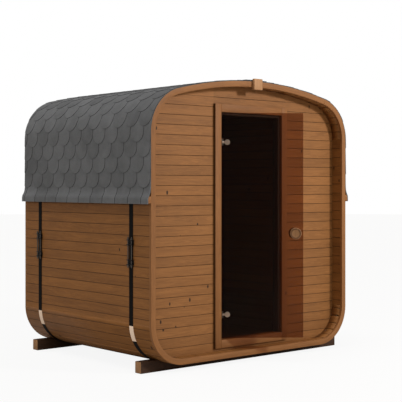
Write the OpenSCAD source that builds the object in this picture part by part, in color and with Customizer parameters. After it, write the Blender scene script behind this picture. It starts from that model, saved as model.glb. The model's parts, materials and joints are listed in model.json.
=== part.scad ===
// Cube sauna: a rounded timber shell of staves lying front to back, set in two
// cradle beams, with recessed board ends, a glass door and a shingled roof.
// Millimetres. +X is right, +Y is back, +Z is up; the ground is z = 0.

/* [Shell] */
// Outside width of the timber shell
shell_w = 2050; // [1800:10:2500]
// Height of the shell from its underside to its crown
shell_h = 2095; // [2000:5:2600]
// Depth of the shell, front rim to back rim
shell_d = 1700; // [1400:10:3000]
// Thickness of the staves
stave_t = 42; // [36:1:50]
// Outside radius of the arched crown
crown_r = 3180; // [2600:10:4500]
// Outside radius of the two upper corners
shoulder_r = 330; // [250:5:420]
// Outside radius of the two lower corners
foot_r = 300; // [220:5:380]

/* [Rims] */
// Thickness of the hoops on the front and back ends of the staves
rim_t = 20; // [15:1:35]

/* [End walls] */
// Thickness of the end walls
wall_t = 42; // [36:1:50]
// How far the end walls stand back from the rims
recess = 110; // [60:1:140]
// How far an end wall reaches into the groove in the staves
tongue = 8; // [5:1:12]
// Room left at the bottom of that groove
groove_room = 2; // [1:0.5:3]
// Room left at each side of an end wall in that groove
groove_side = 0.5; // [0.2:0.1:1]

/* [Beams] */
// Length of each cradle beam, left to right
beam_l = 2050; // [1800:10:2600]
// Width of each beam, front to back
beam_w = 70; // [50:1:100]
// Height of each beam
beam_h = 85; // [70:1:120]
// How deep the shell sits in the beams
cradle = 35; // [20:1:45]
// Distance from a rim to the nearer face of the beam
beam_inset = 119; // [90:1:200]

/* [Doorway] */
// Clear width between the door posts
opening_w = 645; // [560:1:800]
// Distance of the doorway's middle to the right of the shell's middle
opening_x = 42; // [-150:1:150]
// Clear height from the sill to the head
opening_h = 1731; // [1650:1:1760]
// Height of the sill's top over the inside floor
sill_up = 82; // [75:1:110]
// Face width of the posts, head and sill
frame_w = 62; // [45:1:80]
// Depth of the frame, front to back
frame_d = 85; // [75:1:110]
// How far the frame stands out in front of the wall
frame_proud = 22; // [15:1:30]
// Width of the stop battens, into the doorway
stop_w = 20; // [18:1:26]

/* [Door] */
// Thickness of the door glass
glass_t = 8; // [6:1:10]
// Gap between the glass and the frame at the hinges and the head
glass_gap = 6; // [5:0.5:8]
// Gap between the glass and the frame at the free edge
free_gap = 13; // [6:0.5:15]
// Gap between the glass and the sill
sill_gap = 12; // [6:0.5:15]
// Gap between the closed glass and the stops
stop_gap = 6; // [5.5:0.5:8]
// Angle at which the door stands open, from closed
rest_angle = 37; // [0:1:90]
// Distance of the hinge axis from the left post
axis_side = 14; // [12:0.5:16]
// Distance of the hinge axis behind the face of the frame
axis_back = 4; // [3:0.5:14]
// Distance of the glass behind the hinge axis
glass_back = 7; // [6.5:0.5:9]
// Height of the upper hinge under the top of the glass
hinge_down = 223; // [150:1:300]
// Height of the lower hinge over the bottom of the glass
hinge_up = 180; // [150:1:300]

/* [Door hinges] */
// Radius of the hinge pins
pin_r = 3; // [2.5:0.5:4]
// Running clearance round each pin
pin_clear = 0.05; // [0.02:0.01:0.08]
// Radius of the hinge knuckles
knuckle_r = 6; // [5.5:0.5:7]
// Height of each knuckle
knuckle_h = 16; // [12:1:20]
// Gap between one knuckle and the next
knuckle_gap = 0.6; // [0.4:0.1:1]
// Gap between a hinge's plate and its knuckles
plate_room = 2; // [1:0.5:3]
// Radius of the round glass clamps
clamp_r = 21; // [16:1:26]
// Thickness of a glass clamp
clamp_t = 5; // [4:0.5:6]
// Distance of a clamp's centre from the hinge axis
clamp_out = 36; // [34:1:44]
// Radius of the screw through the glass
screw_r = 5; // [4:0.5:6]
// Room round a screw in its hole in the glass
screw_room = 1; // [0.5:0.5:2]

/* [Knobs] */
// Radius of the round wooden knobs
knob_r = 44; // [30:1:46]
// Thickness of a knob's disc
knob_t = 20; // [14:1:24]
// Radius of the neck that carries a knob
neck_r = 17; // [12:1:20]
// Length of that neck
neck_l = 20; // [14:1:24]
// Distance of the knobs from the free edge of the glass
knob_in = 62; // [60:1:90]
// Height of the knobs over the bottom of the glass
knob_up = 795; // [600:1:1000]
// Chamfer round a knob's face
knob_chamfer = 3; // [1:0.5:5]
// Radius of the dished middle of a knob's face
dish_r = 33; // [20:1:36]
// Depth of that dish
dish_d = 3; // [1:0.5:5]

/* [Roofing] */
// Thickness of the shingle covering
shingle_t = 8; // [5:0.5:12]
// Height of the shingles' lower edge over the ground
eave_z = 1215; // [900:5:1500]
// Thickness of the eave battens under the lowest course
batten_t = 25; // [15:1:40]
// Height of the eave battens
batten_h = 50; // [40:1:70]
// Chamfer on the upper outer edge of the eave battens
batten_chamfer = 12; // [6:1:14]
// How far the shingles reach below the battens
drip = 5; // [2:1:10]
// Height over which the lowest course swings out onto the batten
flare_h = 60; // [40:1:90]
// Width of the ridge shingles, over the crown
ridge_w = 220; // [160:5:300]
// Thickness of the ridge shingles
ridge_t = 4; // [3:0.5:6]

/* [Ridge blocks] */
// Width of the block on the crown of each rim
block_w = 87; // [60:1:120]
// Thickness of that block, out from the rim
block_t = 25; // [15:1:40]
// How far the block reaches over the ridge shingles
block_over = 8; // [4:1:20]
// How far the block reaches below the rim's inner face
block_under = 23; // [10:1:40]

/* [Straps] */
// Width of the steel straps
strap_w = 46; // [30:1:60]
// Thickness of the straps
strap_t = 2; // [1:0.5:3]
// Distance of a strap's middle from the nearer rim
strap_in = 234; // [230:1:400]
// Room left round a strap under the roofing and the eave battens
strap_room = 2; // [1:0.5:4]
// Room left over a strap under the roofing and the eave battens
strap_over = 0.5; // [0.3:0.1:1]
// Height of the tensioners' middle over the ground
tension_z = 864; // [700:1:950]
// Distance between the outer ends of a tensioner's two brackets
tension_l = 182; // [150:1:300]
// Height of each bracket
bracket_h = 38; // [30:1:60]
// Width of each bracket
bracket_w = 70; // [62:1:80]
// Thickness of a bracket's plate
bracket_t = 3; // [2:0.5:5]
// How far a bracket's two flanges stand out from the strap
flange_out = 20; // [16:1:30]
// Thickness of a flange
flange_t = 5; // [4:1:8]
// Radius of the two tension rods
rod_r = 5; // [4:0.5:6]
// Distance between the two rods
rod_gap = 42; // [38:1:50]
// Distance of the rods from the strap
rod_out = 11; // [9:1:14]
// Length of a nut on a rod
nut_l = 9; // [6:1:12]
// Radius of a nut across its corners
nut_r = 8; // [7:0.5:10]
// How far a rod runs on past its nut
rod_past = 12; // [4:1:20]

/* [Hidden] */
$fn = 180;

timber = "peru";
end_timber = "burlywood";
felt = "dimgray";
steel = "silver";
black_steel = "black";
bronze_glass = "saddlebrown";

past = 1;               // how far a cutting solid runs past what it cuts
half_w = shell_w / 2;
under_z = beam_h - cradle;
crown_z = under_z + shell_h;
floor_z = under_z + stave_t;
foot_cz = under_z + foot_r;
crown_cz = crown_z - crown_r;
shoulder_cx = half_w - shoulder_r;
shoulder_cz = crown_cz + sqrt(pow(crown_r - shoulder_r, 2) - pow(shoulder_cx, 2));
crown_angle = asin(shoulder_cx / (crown_r - shoulder_r));
shoulder_turn = 90 - crown_angle;
crown_gap = 0.02;       // hair's breadth between the crown's staves and the shoulders'
crown_turn = crown_angle - asin(crown_gap / (crown_r - stave_t));
crown_reach = 640;      // how far over the crown its own sector is drawn
nut_sides = 6;
seam_w = 0.6;           // width of the strips along the outline's own joints
seam_over = 0.5;        // how far such a strip cuts into a band's inner face

sill_z = floor_z + sill_up;
head_z = sill_z + opening_h;
frame_y = recess - frame_proud;
opening_left = opening_x - opening_w / 2;
opening_right = opening_x + opening_w / 2;
frame_left = opening_left - frame_w;
frame_right = opening_right + frame_w;
frame_foot_z = sill_z - frame_w;
frame_top_z = head_z + frame_w;

axis_x = opening_left + axis_side;
axis_y = frame_y + axis_back;
glass_start = glass_gap - axis_side;
glass_end = opening_w - axis_side - free_gap;
glass_z = sill_z + sill_gap;
glass_top_z = head_z - glass_gap;
hinge_top_z = glass_top_z - hinge_down;
hinge_bottom_z = glass_z + hinge_up;
knob_x = glass_end - knob_in;
knob_z = glass_z + knob_up;
stop_y = axis_y + glass_back + glass_t + stop_gap;
stop_d = frame_y + frame_d - stop_y;

batten_z = eave_z + drip;
batten_top_z = batten_z + batten_h;

// The outer knob is the furthest point to the front while the door stands
// ajar, and the rear block the furthest to the back. The origin lies half way.
knob_face = neck_l + knob_t - glass_back;
knob_reach = max((knob_x + knob_r - knob_chamfer) * sin(rest_angle) + knob_face * cos(rest_angle),
                 (knob_x + knob_r) * sin(rest_angle) + (knob_face - knob_chamfer) * cos(rest_angle));
glass_reach = glass_end * sin(rest_angle) - glass_back * cos(rest_angle);
front_reach = max(block_t, knob_reach - axis_y, glass_reach - axis_y);
body_y = (front_reach - shell_d - block_t) / 2;

// ---- helpers ----

// Places what is drawn with the front rim at y = 0 into the row frame.
module in_place() {
    translate([0, body_y, 0]) children();
}

// The right-hand twin of what is drawn on the left.
module twin() {
    mirror([1, 0, 0]) children();
}

// A sector of a disc between two angles less than 180 degrees apart.
module sector(r, from, to) {
    reach = 2 * r;
    mid = (from + to) / 2;
    intersection() {
        circle(r);
        polygon([[0, 0], reach * [cos(from), sin(from)], reach * [cos(mid), sin(mid)],
                 reach * [cos(to), sin(to)]]);
    }
}

// Narrow strips along the joints between the crown and the shoulders. They cut
// away what rounding would otherwise leave of a hoop's filling there.
module seams(grow) {
    for (side = [-1, 1])
        translate([side * shoulder_cx, shoulder_cz]) rotate(90 - side * crown_angle)
            translate([0, -seam_w / 2]) square([shoulder_r + grow, seam_w]);
}

// The shell's outline, seen from the front, grown outwards by an amount.
module outline(grow) {
    crown_half = (crown_r + crown_reach) * sin(crown_angle);
    crown_rise = crown_half / tan(crown_angle);
    translate([foot_r - half_w, under_z - grow]) square([2 * (half_w - foot_r), foot_r + grow]);
    translate([-half_w - grow, foot_cz]) square([2 * (half_w + grow), shoulder_cz - foot_cz]);
    translate([foot_r - half_w, foot_cz]) sector(foot_r + grow, 180, 270);
    translate([half_w - foot_r, foot_cz]) sector(foot_r + grow, 270, 360);
    translate([-shoulder_cx, shoulder_cz]) sector(shoulder_r + grow, 90 + crown_angle, 180);
    translate([shoulder_cx, shoulder_cz]) sector(shoulder_r + grow, 0, 90 - crown_angle);
    intersection() {
        translate([0, crown_cz]) circle(crown_r + grow);
        polygon([[-shoulder_cx, shoulder_cz], [shoulder_cx, shoulder_cz],
                 [crown_half, crown_cz + crown_rise], [-crown_half, crown_cz + crown_rise]]);
    }
}

// A flat shape in x and z, made solid from one y to another.
module slab(from_y, to_y) {
    translate([0, to_y, 0]) rotate([90, 0, 0]) linear_extrude(to_y - from_y) children();
}

// The places of the two end walls' front faces, and the room in their grooves.
wall_ys = [recess, shell_d - recess - wall_t];
groove_deep = tongue + groove_room;
groove_w = wall_t + 2 * groove_side;

// The section of a run of staves: thickness along x, depth along y, with the
// inner face at x = 0 and the wall grooves cut into it.
module stave_section() {
    difference() {
        translate([0, rim_t]) square([stave_t, shell_d - 2 * rim_t]);
        for (y = wall_ys)
            translate([-past, y - groove_side]) square([groove_deep + past, groove_w]);
    }
}

// A section bent round an axis that lies front to back, with its inner face at
// a radius, from a start angle through a turn.
module bend(cx, cz, r, start, turn) {
    translate([cx, shell_d, cz]) rotate([90, 0, 0]) rotate([0, 0, start])
        rotate_extrude(angle = turn) translate([r, 0]) children();
}

// Staves in a flat run that stands on z = 0 with its inner face at x = 0, going to -x.
module stave_run(length) {
    mirror([1, 0, 0]) linear_extrude(length) stave_section();
}

// A band round the shell, between two distances out from its face and between
// two places front to back.
module band(inner, outer, from_y, to_y) {
    slab(from_y, to_y) difference() {
        outline(outer);
        outline(inner);
        seams(inner + seam_over);
    }
}

strap_ys = [strap_in, shell_d - strap_in];

// The room taken by the straps where something lies over them.
module strap_channels() {
    for (y = strap_ys)
        slab(y - strap_w / 2 - strap_room, y + strap_w / 2 + strap_room)
            outline(strap_t + strap_over);
}

// ---- beams ----

module beam(y) {
    color(timber) in_place() difference() {
        translate([-beam_l / 2, y, 0]) cube([beam_l, beam_w, beam_h]);
        slab(y - past, y + beam_w + past) outline(0);
    }
}

// ---- shell ----

module floor_staves() {
    color(timber) in_place() translate([half_w - foot_r, 0, floor_z]) rotate([0, -90, 0])
        stave_run(2 * (half_w - foot_r));
}

module foot_staves() {
    color(timber) in_place()
        bend(foot_r - half_w, foot_cz, foot_r - stave_t, 180, 90) stave_section();
}

module side_staves() {
    color(timber) in_place() translate([stave_t - half_w, 0, foot_cz])
        stave_run(shoulder_cz - foot_cz);
}

module shoulder_staves() {
    color(timber) in_place()
        bend(-shoulder_cx, shoulder_cz, shoulder_r - stave_t, 180, -shoulder_turn) stave_section();
}

module roof_staves() {
    color(timber) in_place()
        bend(0, crown_cz, crown_r - stave_t, 90, crown_turn) stave_section();
}

// The hoop that covers the ends of the staves.
module rim(from_y) {
    color(end_timber) in_place() band(-stave_t, 0, from_y, from_y + rim_t);
}

// ---- end walls ----

module end_wall(y) {
    slab(y, y + wall_t) outline(tongue - stave_t);
}

module back_wall() {
    color(timber) in_place() end_wall(shell_d - recess - wall_t);
}

// The part of the front wall inside a block of the x-z plane.
module front_wall_part(x0, z0, x1, z1) {
    color(timber) in_place() intersection() {
        end_wall(recess);
        translate([x0, recess - past, z0]) cube([x1 - x0, wall_t + 2 * past, z1 - z0]);
    }
}

module front_wall_left() {
    front_wall_part(-half_w, 0, frame_left, crown_z);
}

module front_wall_right() {
    front_wall_part(frame_right, 0, half_w, crown_z);
}

module front_wall_head() {
    front_wall_part(frame_left, frame_top_z, frame_right, crown_z);
}

module front_wall_foot() {
    front_wall_part(frame_left, 0, frame_right, frame_foot_z);
}

// ---- door frame ----

module door_post(x) {
    color(end_timber) in_place() translate([x, frame_y, frame_foot_z])
        cube([frame_w, frame_d, frame_top_z - frame_foot_z]);
}

module door_rail(z) {
    color(end_timber) in_place() translate([opening_left, frame_y, z])
        cube([opening_w, frame_d, frame_w]);
}

// The battens that the glass closes against, round the sides and the head.
module door_stops() {
    color(end_timber) in_place() difference() {
        translate([opening_left, stop_y, sill_z]) cube([opening_w, stop_d, opening_h]);
        translate([opening_left + stop_w, stop_y - past, sill_z - past])
            cube([opening_w - 2 * stop_w, stop_d + 2 * past, opening_h - stop_w + past]);
    }
}

// ---- door ----

// Turns what is drawn for a closed door, with the hinge axis at x = y = 0,
// to the angle at which the door stands.
module door_leaf() {
    in_place() translate([axis_x, axis_y, 0]) rotate([0, 0, -rest_angle]) children();
}

// A round hole or screw through the glass, along y.
module through_glass(x, z, r, from_y, to_y) {
    translate([x, to_y, z]) rotate([90, 0, 0]) cylinder(r = r, h = to_y - from_y);
}

module door_glass() {
    color(bronze_glass, 0.6) door_leaf() difference() {
        translate([glass_start, glass_back, glass_z])
            cube([glass_end - glass_start, glass_t, glass_top_z - glass_z]);
        for (at = [[clamp_out, hinge_top_z], [clamp_out, hinge_bottom_z], [knob_x, knob_z]])
            through_glass(at[0], at[1], screw_r + screw_room, glass_back - past,
                          glass_back + glass_t + past);
    }
}

// The moving half of a hinge: a knuckle, an arm and two round clamps.
module hinge_clamp(z) {
    rear_y = glass_back + glass_t;
    color(steel) door_leaf() {
        difference() {
            union() {
                translate([0, 0, z - knuckle_h / 2]) cylinder(r = knuckle_r, h = knuckle_h);
                translate([0, glass_back - clamp_t, z - knuckle_h / 2])
                    cube([clamp_out, clamp_t, knuckle_h]);
                through_glass(clamp_out, z, clamp_r, glass_back - clamp_t, glass_back);
            }
            translate([0, 0, z - knuckle_h]) cylinder(r = pin_r + pin_clear, h = 2 * knuckle_h);
        }
        through_glass(clamp_out, z, screw_r, glass_back, rear_y);
        through_glass(clamp_out, z, clamp_r, rear_y, rear_y + clamp_t);
    }
}

// The fixed half of a hinge: a plate on the post, two knuckles and the pin.
module hinge_base(z) {
    plate_t = axis_side - knuckle_r - plate_room;
    plate_h = 3 * knuckle_h + 2 * knuckle_gap;
    color(steel) in_place() translate([axis_x, axis_y, z]) {
        translate([-axis_side, -axis_back, -plate_h / 2])
            cube([plate_t, 3 * knuckle_r, plate_h]);
        translate([0, 0, -plate_h / 2]) cylinder(r = pin_r, h = plate_h);
        for (low = [-plate_h / 2, knuckle_h / 2 + knuckle_gap]) {
            translate([0, 0, low]) cylinder(r = knuckle_r, h = knuckle_h);
            translate([plate_t - axis_side, -pin_r, low])
                cube([axis_side - plate_t, 2 * pin_r, knuckle_h]);
        }
    }
}

// A knob with its neck at z = 0 and its dished face at the top.
module knob() {
    rotate_extrude() polygon([
        [0, 0], [neck_r, 0], [neck_r, neck_l], [knob_r - knob_chamfer, neck_l],
        [knob_r, neck_l + knob_chamfer], [knob_r, neck_l + knob_t - knob_chamfer],
        [knob_r - knob_chamfer, neck_l + knob_t], [dish_r, neck_l + knob_t],
        [dish_r - dish_d, neck_l + knob_t - dish_d], [0, neck_l + knob_t - dish_d]]);
}

module knob_outside() {
    color(end_timber) door_leaf() {
        translate([knob_x, glass_back, knob_z]) rotate([90, 0, 0]) knob();
        through_glass(knob_x, knob_z, screw_r, glass_back, glass_back + glass_t);
    }
}

module knob_inside() {
    color(end_timber) door_leaf()
        translate([knob_x, glass_back + glass_t, knob_z]) rotate([-90, 0, 0]) knob();
}

// ---- roofing ----

// The shingles of one side, from the eave to the top of the shoulder.
module side_shingles() {
    out = shingle_t;
    color(felt) in_place() difference() {
        union() {
            slab(0, shell_d) translate([-half_w, 0]) polygon([
                [0, shoulder_cz], [0, batten_top_z + flare_h],
                [batten_chamfer - batten_t, batten_top_z], [-batten_t, batten_top_z - batten_chamfer],
                [-batten_t, eave_z], [-batten_t - out, eave_z],
                [-batten_t - out, batten_top_z - batten_chamfer + out / 2],
                [batten_chamfer - batten_t - out, batten_top_z + out / 2],
                [-out, batten_top_z + flare_h + out / 2], [-out, shoulder_cz]]);
            bend(-shoulder_cx, shoulder_cz, shoulder_r, 180, -shoulder_turn) square([out, shell_d]);
        }
        strap_channels();
    }
}

// The shingles over the crown, between the shoulders.
module roof_shingles() {
    color(felt) in_place() difference() {
        for (turn = [-crown_turn, crown_turn])
            bend(0, crown_cz, crown_r, 90, turn) square([shingle_t, shell_d]);
        strap_channels();
    }
}

module ridge_shingles() {
    ridge_angle = asin(ridge_w / 2 / crown_r);
    color(felt) in_place() for (turn = [-ridge_angle, ridge_angle])
        bend(0, crown_cz, crown_r + shingle_t, 90, turn) square([ridge_t, shell_d]);
}

module eave_batten() {
    color(end_timber) in_place() difference() {
        slab(0, shell_d) translate([-half_w, batten_z]) polygon([
            [0, 0], [0, batten_h], [batten_chamfer - batten_t, batten_h],
            [-batten_t, batten_h - batten_chamfer], [-batten_t, 0]]);
        strap_channels();
    }
}

// ---- ridge blocks ----

module ridge_block(y) {
    top = crown_z + shingle_t + ridge_t + block_over;
    low = crown_z - stave_t - block_under;
    color(end_timber) in_place() translate([-block_w / 2, y, low])
        cube([block_w, block_t, top - low]);
}

// ---- straps ----

module strap(y) {
    color(black_steel) in_place() band(0, strap_t, y - strap_w / 2, y + strap_w / 2);
}

// Two folded brackets on the left side of a strap, drawn together by two rods.
module tensioner(y) {
    outer = tension_l / 2;
    inner = outer - bracket_h;
    color(black_steel) in_place() translate([-half_w - strap_t, y, tension_z])
        for (up = [0, 1]) mirror([0, 0, up]) {
            translate([-bracket_t, -bracket_w / 2, inner]) cube([bracket_t, bracket_w, bracket_h]);
            for (z = [inner, outer - flange_t])
                translate([-flange_out, -bracket_w / 2, z]) cube([flange_out, bracket_w, flange_t]);
            for (side = [-1, 1]) translate([-rod_out, side * rod_gap / 2, 0]) {
                cylinder(r = rod_r, h = outer + nut_l + rod_past);
                translate([0, 0, outer]) cylinder(r = nut_r, h = nut_l, $fn = nut_sides);
            }
        }
}

beam(beam_inset);  // beam_front
beam(shell_d - beam_inset - beam_w);  // beam_rear
floor_staves();
foot_staves();  // foot_staves_left
twin() foot_staves();  // foot_staves_right
side_staves();  // side_staves_left
twin() side_staves();  // side_staves_right
shoulder_staves();  // shoulder_staves_left
twin() shoulder_staves();  // shoulder_staves_right
roof_staves();  // roof_staves_left
twin() roof_staves();  // roof_staves_right
rim(0);  // rim_front
rim(shell_d - rim_t);  // rim_back
back_wall();
front_wall_left();
front_wall_right();
front_wall_head();
front_wall_foot();
door_post(frame_left);  // door_post_left
door_post(opening_right);  // door_post_right
door_rail(head_z);  // door_head
door_rail(frame_foot_z);  // door_sill
door_stops();
hinge_base(hinge_top_z);  // hinge_base_top
hinge_base(hinge_bottom_z);  // hinge_base_bottom
hinge_clamp(hinge_top_z);  // hinge_clamp_top
hinge_clamp(hinge_bottom_z);  // hinge_clamp_bottom
door_glass();
knob_outside();
knob_inside();
side_shingles();  // side_shingles_left
twin() side_shingles();  // side_shingles_right
roof_shingles();
ridge_shingles();
eave_batten();  // eave_batten_left
twin() eave_batten();  // eave_batten_right
ridge_block(-block_t);  // ridge_block_front
ridge_block(shell_d);  // ridge_block_back
strap(strap_in);  // strap_front
strap(shell_d - strap_in);  // strap_rear
tensioner(strap_in);  // tensioner_front_left
twin() tensioner(strap_in);  // tensioner_front_right
tensioner(shell_d - strap_in);  // tensioner_rear_left
twin() tensioner(shell_d - strap_in);  // tensioner_rear_right
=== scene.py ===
"""The looks of a cube sauna, built round its packed construction model.

Metres. +X is right, +Y is back, +Z is up, and the ground is z = 0. The shell's
staves run front to back, its end walls are horizontal boards, and the roof is
covered in courses of round-ended bitumen shingles.
"""
import json
import math
import random

import bmesh
import bpy
from mathutils import Matrix, Vector

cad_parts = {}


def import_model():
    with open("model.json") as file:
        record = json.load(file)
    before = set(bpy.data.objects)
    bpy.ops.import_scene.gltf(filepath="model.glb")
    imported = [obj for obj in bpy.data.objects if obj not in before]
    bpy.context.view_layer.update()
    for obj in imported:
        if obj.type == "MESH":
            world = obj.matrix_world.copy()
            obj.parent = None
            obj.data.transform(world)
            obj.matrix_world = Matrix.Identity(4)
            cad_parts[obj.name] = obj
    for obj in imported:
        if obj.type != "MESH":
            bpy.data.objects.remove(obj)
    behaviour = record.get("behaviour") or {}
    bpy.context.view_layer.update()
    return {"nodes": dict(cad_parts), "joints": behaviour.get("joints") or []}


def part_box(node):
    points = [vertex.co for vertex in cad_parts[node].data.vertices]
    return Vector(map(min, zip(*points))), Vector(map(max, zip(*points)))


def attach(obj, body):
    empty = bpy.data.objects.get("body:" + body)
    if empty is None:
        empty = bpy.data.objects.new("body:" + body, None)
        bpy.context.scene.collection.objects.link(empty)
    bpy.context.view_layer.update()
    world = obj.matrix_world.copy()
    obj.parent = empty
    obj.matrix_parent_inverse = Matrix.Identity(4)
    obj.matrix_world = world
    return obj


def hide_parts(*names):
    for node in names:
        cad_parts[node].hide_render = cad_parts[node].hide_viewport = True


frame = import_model()
bpy.ops.object.select_all(action="DESELECT")

# ---- the shell's driving sizes, as the construction model has them ----

SHELL_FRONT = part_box("rim_front")[0].y
SHELL_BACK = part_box("rim_back")[1].y
SHELL_DEPTH = SHELL_BACK - SHELL_FRONT
HALF_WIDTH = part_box("rim_front")[1].x
UNDER_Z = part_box("rim_front")[0].z
CROWN_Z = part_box("rim_front")[1].z
FOOT_R = HALF_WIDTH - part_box("floor_staves")[1].x
FOOT_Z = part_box("side_staves_left")[0].z
SHOULDER_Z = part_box("side_staves_left")[1].z
SHOULDER_R = 0.330
CROWN_R = 3.180
SHOULDER_X = HALF_WIDTH - SHOULDER_R
CROWN_CENTRE_Z = CROWN_Z - CROWN_R
CROWN_ANGLE = math.asin(SHOULDER_X / (CROWN_R - SHOULDER_R))

# Lengths round the outside of the left half of the shell, from the floor's middle.
FOOT_S = HALF_WIDTH - FOOT_R
SIDE_S = FOOT_S + FOOT_R * math.pi / 2
SHOULDER_S = SIDE_S + SHOULDER_Z - FOOT_Z
CROWN_S = SHOULDER_S + SHOULDER_R * (math.pi / 2 - CROWN_ANGLE)
RIDGE_S = CROWN_S + CROWN_R * CROWN_ANGLE

BOARD = 0.0744  # cover width of a stave or a wall board
SIDE_JOINT_Z = 0.912  # one joint between side staves
WALL_JOINT_Z = 1.347  # one joint between wall boards
JOINT_CHAMFER = 0.0022
OPEN_ANGLE = math.radians(-frame["joints"][0]["range_deg"][0])  # from closed to rest
TO_RIGHT = Matrix.Diagonal((-1, 1, 1, 1))  # mirrors what is on the left


# ---- shader sheets ----


class Value:
    """A number socket that adds Math nodes as it is used in an expression."""

    def __init__(self, sheet, socket):
        self.sheet = sheet
        self.socket = socket

    def maths(self, operation, first, second=None):
        inputs = {0: first} if second is None else {0: first, 1: second}
        return self.sheet.node("ShaderNodeMath", {"operation": operation}, inputs)

    def __add__(self, other):
        return self.maths("ADD", self, other)

    def __radd__(self, other):
        return self.maths("ADD", other, self)

    def __sub__(self, other):
        return self.maths("SUBTRACT", self, other)

    def __rsub__(self, other):
        return self.maths("SUBTRACT", other, self)

    def __mul__(self, other):
        return self.maths("MULTIPLY", self, other)

    def __truediv__(self, other):
        return self.maths("DIVIDE", self, other)

    def __gt__(self, other):
        return self.maths("GREATER_THAN", self, other)

    def __lt__(self, other):
        return self.maths("LESS_THAN", self, other)

    def sine(self):
        return self.maths("SINE", self)

    def beside(self, name):
        """Another output of the same node."""
        return Value(self.sheet, self.socket.node.outputs[name])


class Graph:
    """A tree of nodes and the ways to add to it."""

    def __init__(self, tree):
        self.tree = tree

    def put(self, socket, value):
        if isinstance(value, Value):
            value = value.socket
        if isinstance(value, bpy.types.NodeSocket):
            self.tree.links.new(value, socket)
        elif isinstance(value, tuple) and socket.type == "RGBA" and len(value) == 3:
            socket.default_value = (*value, 1)
        else:
            socket.default_value = value

    def node(self, kind, settings=None, inputs=None, output=0):
        node = self.tree.nodes.new(kind)
        for key, value in (settings or {}).items():
            if key == "stops":
                self.set_stops(node.color_ramp, value)
            else:
                setattr(node, key, value)
        for key, value in (inputs or {}).items():
            self.put(node.inputs[key], value)
        return Value(self, node.outputs[output])

    def set_stops(self, ramp, stops):
        while len(ramp.elements) < len(stops):
            ramp.elements.new(0.5)
        for element, (place, colour) in zip(ramp.elements, stops):
            element.position = place
            element.color = (*colour, 1)

    def object_place(self):
        return self.node("ShaderNodeTexCoord", output="Object")

    def attribute(self, name, output="Fac"):
        return self.node("ShaderNodeAttribute", {"attribute_name": name}, output=output)

    def split(self, vector):
        x = self.node("ShaderNodeSeparateXYZ", inputs={0: vector})
        return x, x.beside("Y"), x.beside("Z")

    def join(self, x, y, z):
        return self.node("ShaderNodeCombineXYZ", inputs={0: x, 1: y, 2: z})

    def vector_maths(self, operation, first, second):
        return self.node("ShaderNodeVectorMath", {"operation": operation},
                         {0: first, 1: second})

    def noise(self, place, scale, detail=4.0, roughness=0.55, distortion=0.0):
        return self.node("ShaderNodeTexNoise", inputs={
            "Vector": place, "Scale": scale, "Detail": detail,
            "Roughness": roughness, "Distortion": distortion})

    def ramp(self, factor, stops):
        grey = [(place, (tone, tone, tone)) for place, tone in stops]
        return self.node("ShaderNodeValToRGB", {"stops": grey}, {"Fac": factor})

    def mix(self, factor, first, second, blend="MIX"):
        """Two colours mixed; the numbers are the colour sockets of the node."""
        return self.node("ShaderNodeMix", {"data_type": "RGBA", "blend_type": blend},
                         {0: factor, 6: first, 7: second}, output=2)

    def graded(self, colour, level):
        """A colour made lighter or darker by a level, 1 being unchanged."""
        return self.mix(1.0, colour, self.join(level, level, level), "MULTIPLY")

    def bump(self, height, distance, strength):
        return self.node("ShaderNodeBump", inputs={
            "Height": height, "Distance": distance, "Strength": strength})

    def mix_shader(self, factor, first, second):
        return self.node("ShaderNodeMixShader", inputs={0: factor, 1: first, 2: second})


class Sheet(Graph):
    """One material's nodes, ending in a Principled shader."""

    def __init__(self, name, roughness=0.5, metallic=0.0, colour=(0.5, 0.5, 0.5), specular=0.5):
        self.material = bpy.data.materials.new(name)
        self.material.use_nodes = True
        super().__init__(self.material.node_tree)
        self.shader = self.tree.nodes["Principled BSDF"]
        for key, value in (("Roughness", roughness), ("Metallic", metallic),
                           ("Base Color", colour), ("Specular IOR Level", specular)):
            self.put(self.shader.inputs[key], value)

    def finish(self, colour, roughness, normal):
        for key, value in (("Base Color", colour), ("Roughness", roughness), ("Normal", normal)):
            self.put(self.shader.inputs[key], value)
        return self.material

    def end_in(self, shader):
        """Puts another shader before the output."""
        self.put(self.tree.nodes["Material Output"].inputs["Surface"], shader)
        return self.material


# ---- materials ----


WOOD_SHIFT = (7.3, 3.1, 5.7)  # how far a board's tone moves the pattern on each axis
FIGURE_ACROSS, FIGURE_ALONG = 9.0, 0.55  # the figure's scale across and along the grain
FIBRE_ACROSS, FIBRE_ALONG = 60.0, 2.4
RINGS = 70.0  # growth rings drawn from the figure
KNOT_ACROSS, KNOT_UP = 6.0, 3.3  # cells that may hold a knot, per metre
KNOT_LEAST, KNOT_MORE = 0.045, 0.070  # a knot's size within its cell
LOW_SHADE_FROM, LOW_SHADE_TO = 0.12, 0.80  # shares of the height between which the painted shade at the bottom fades out


def stretched(across, along_value, along):
    """A scale for each axis, with another one along the grain's axis."""
    scales = [across, across, across]
    scales[along] = along_value
    return tuple(scales)


def times(colour, factor):
    return tuple(channel * factor for channel in colour)


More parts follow.
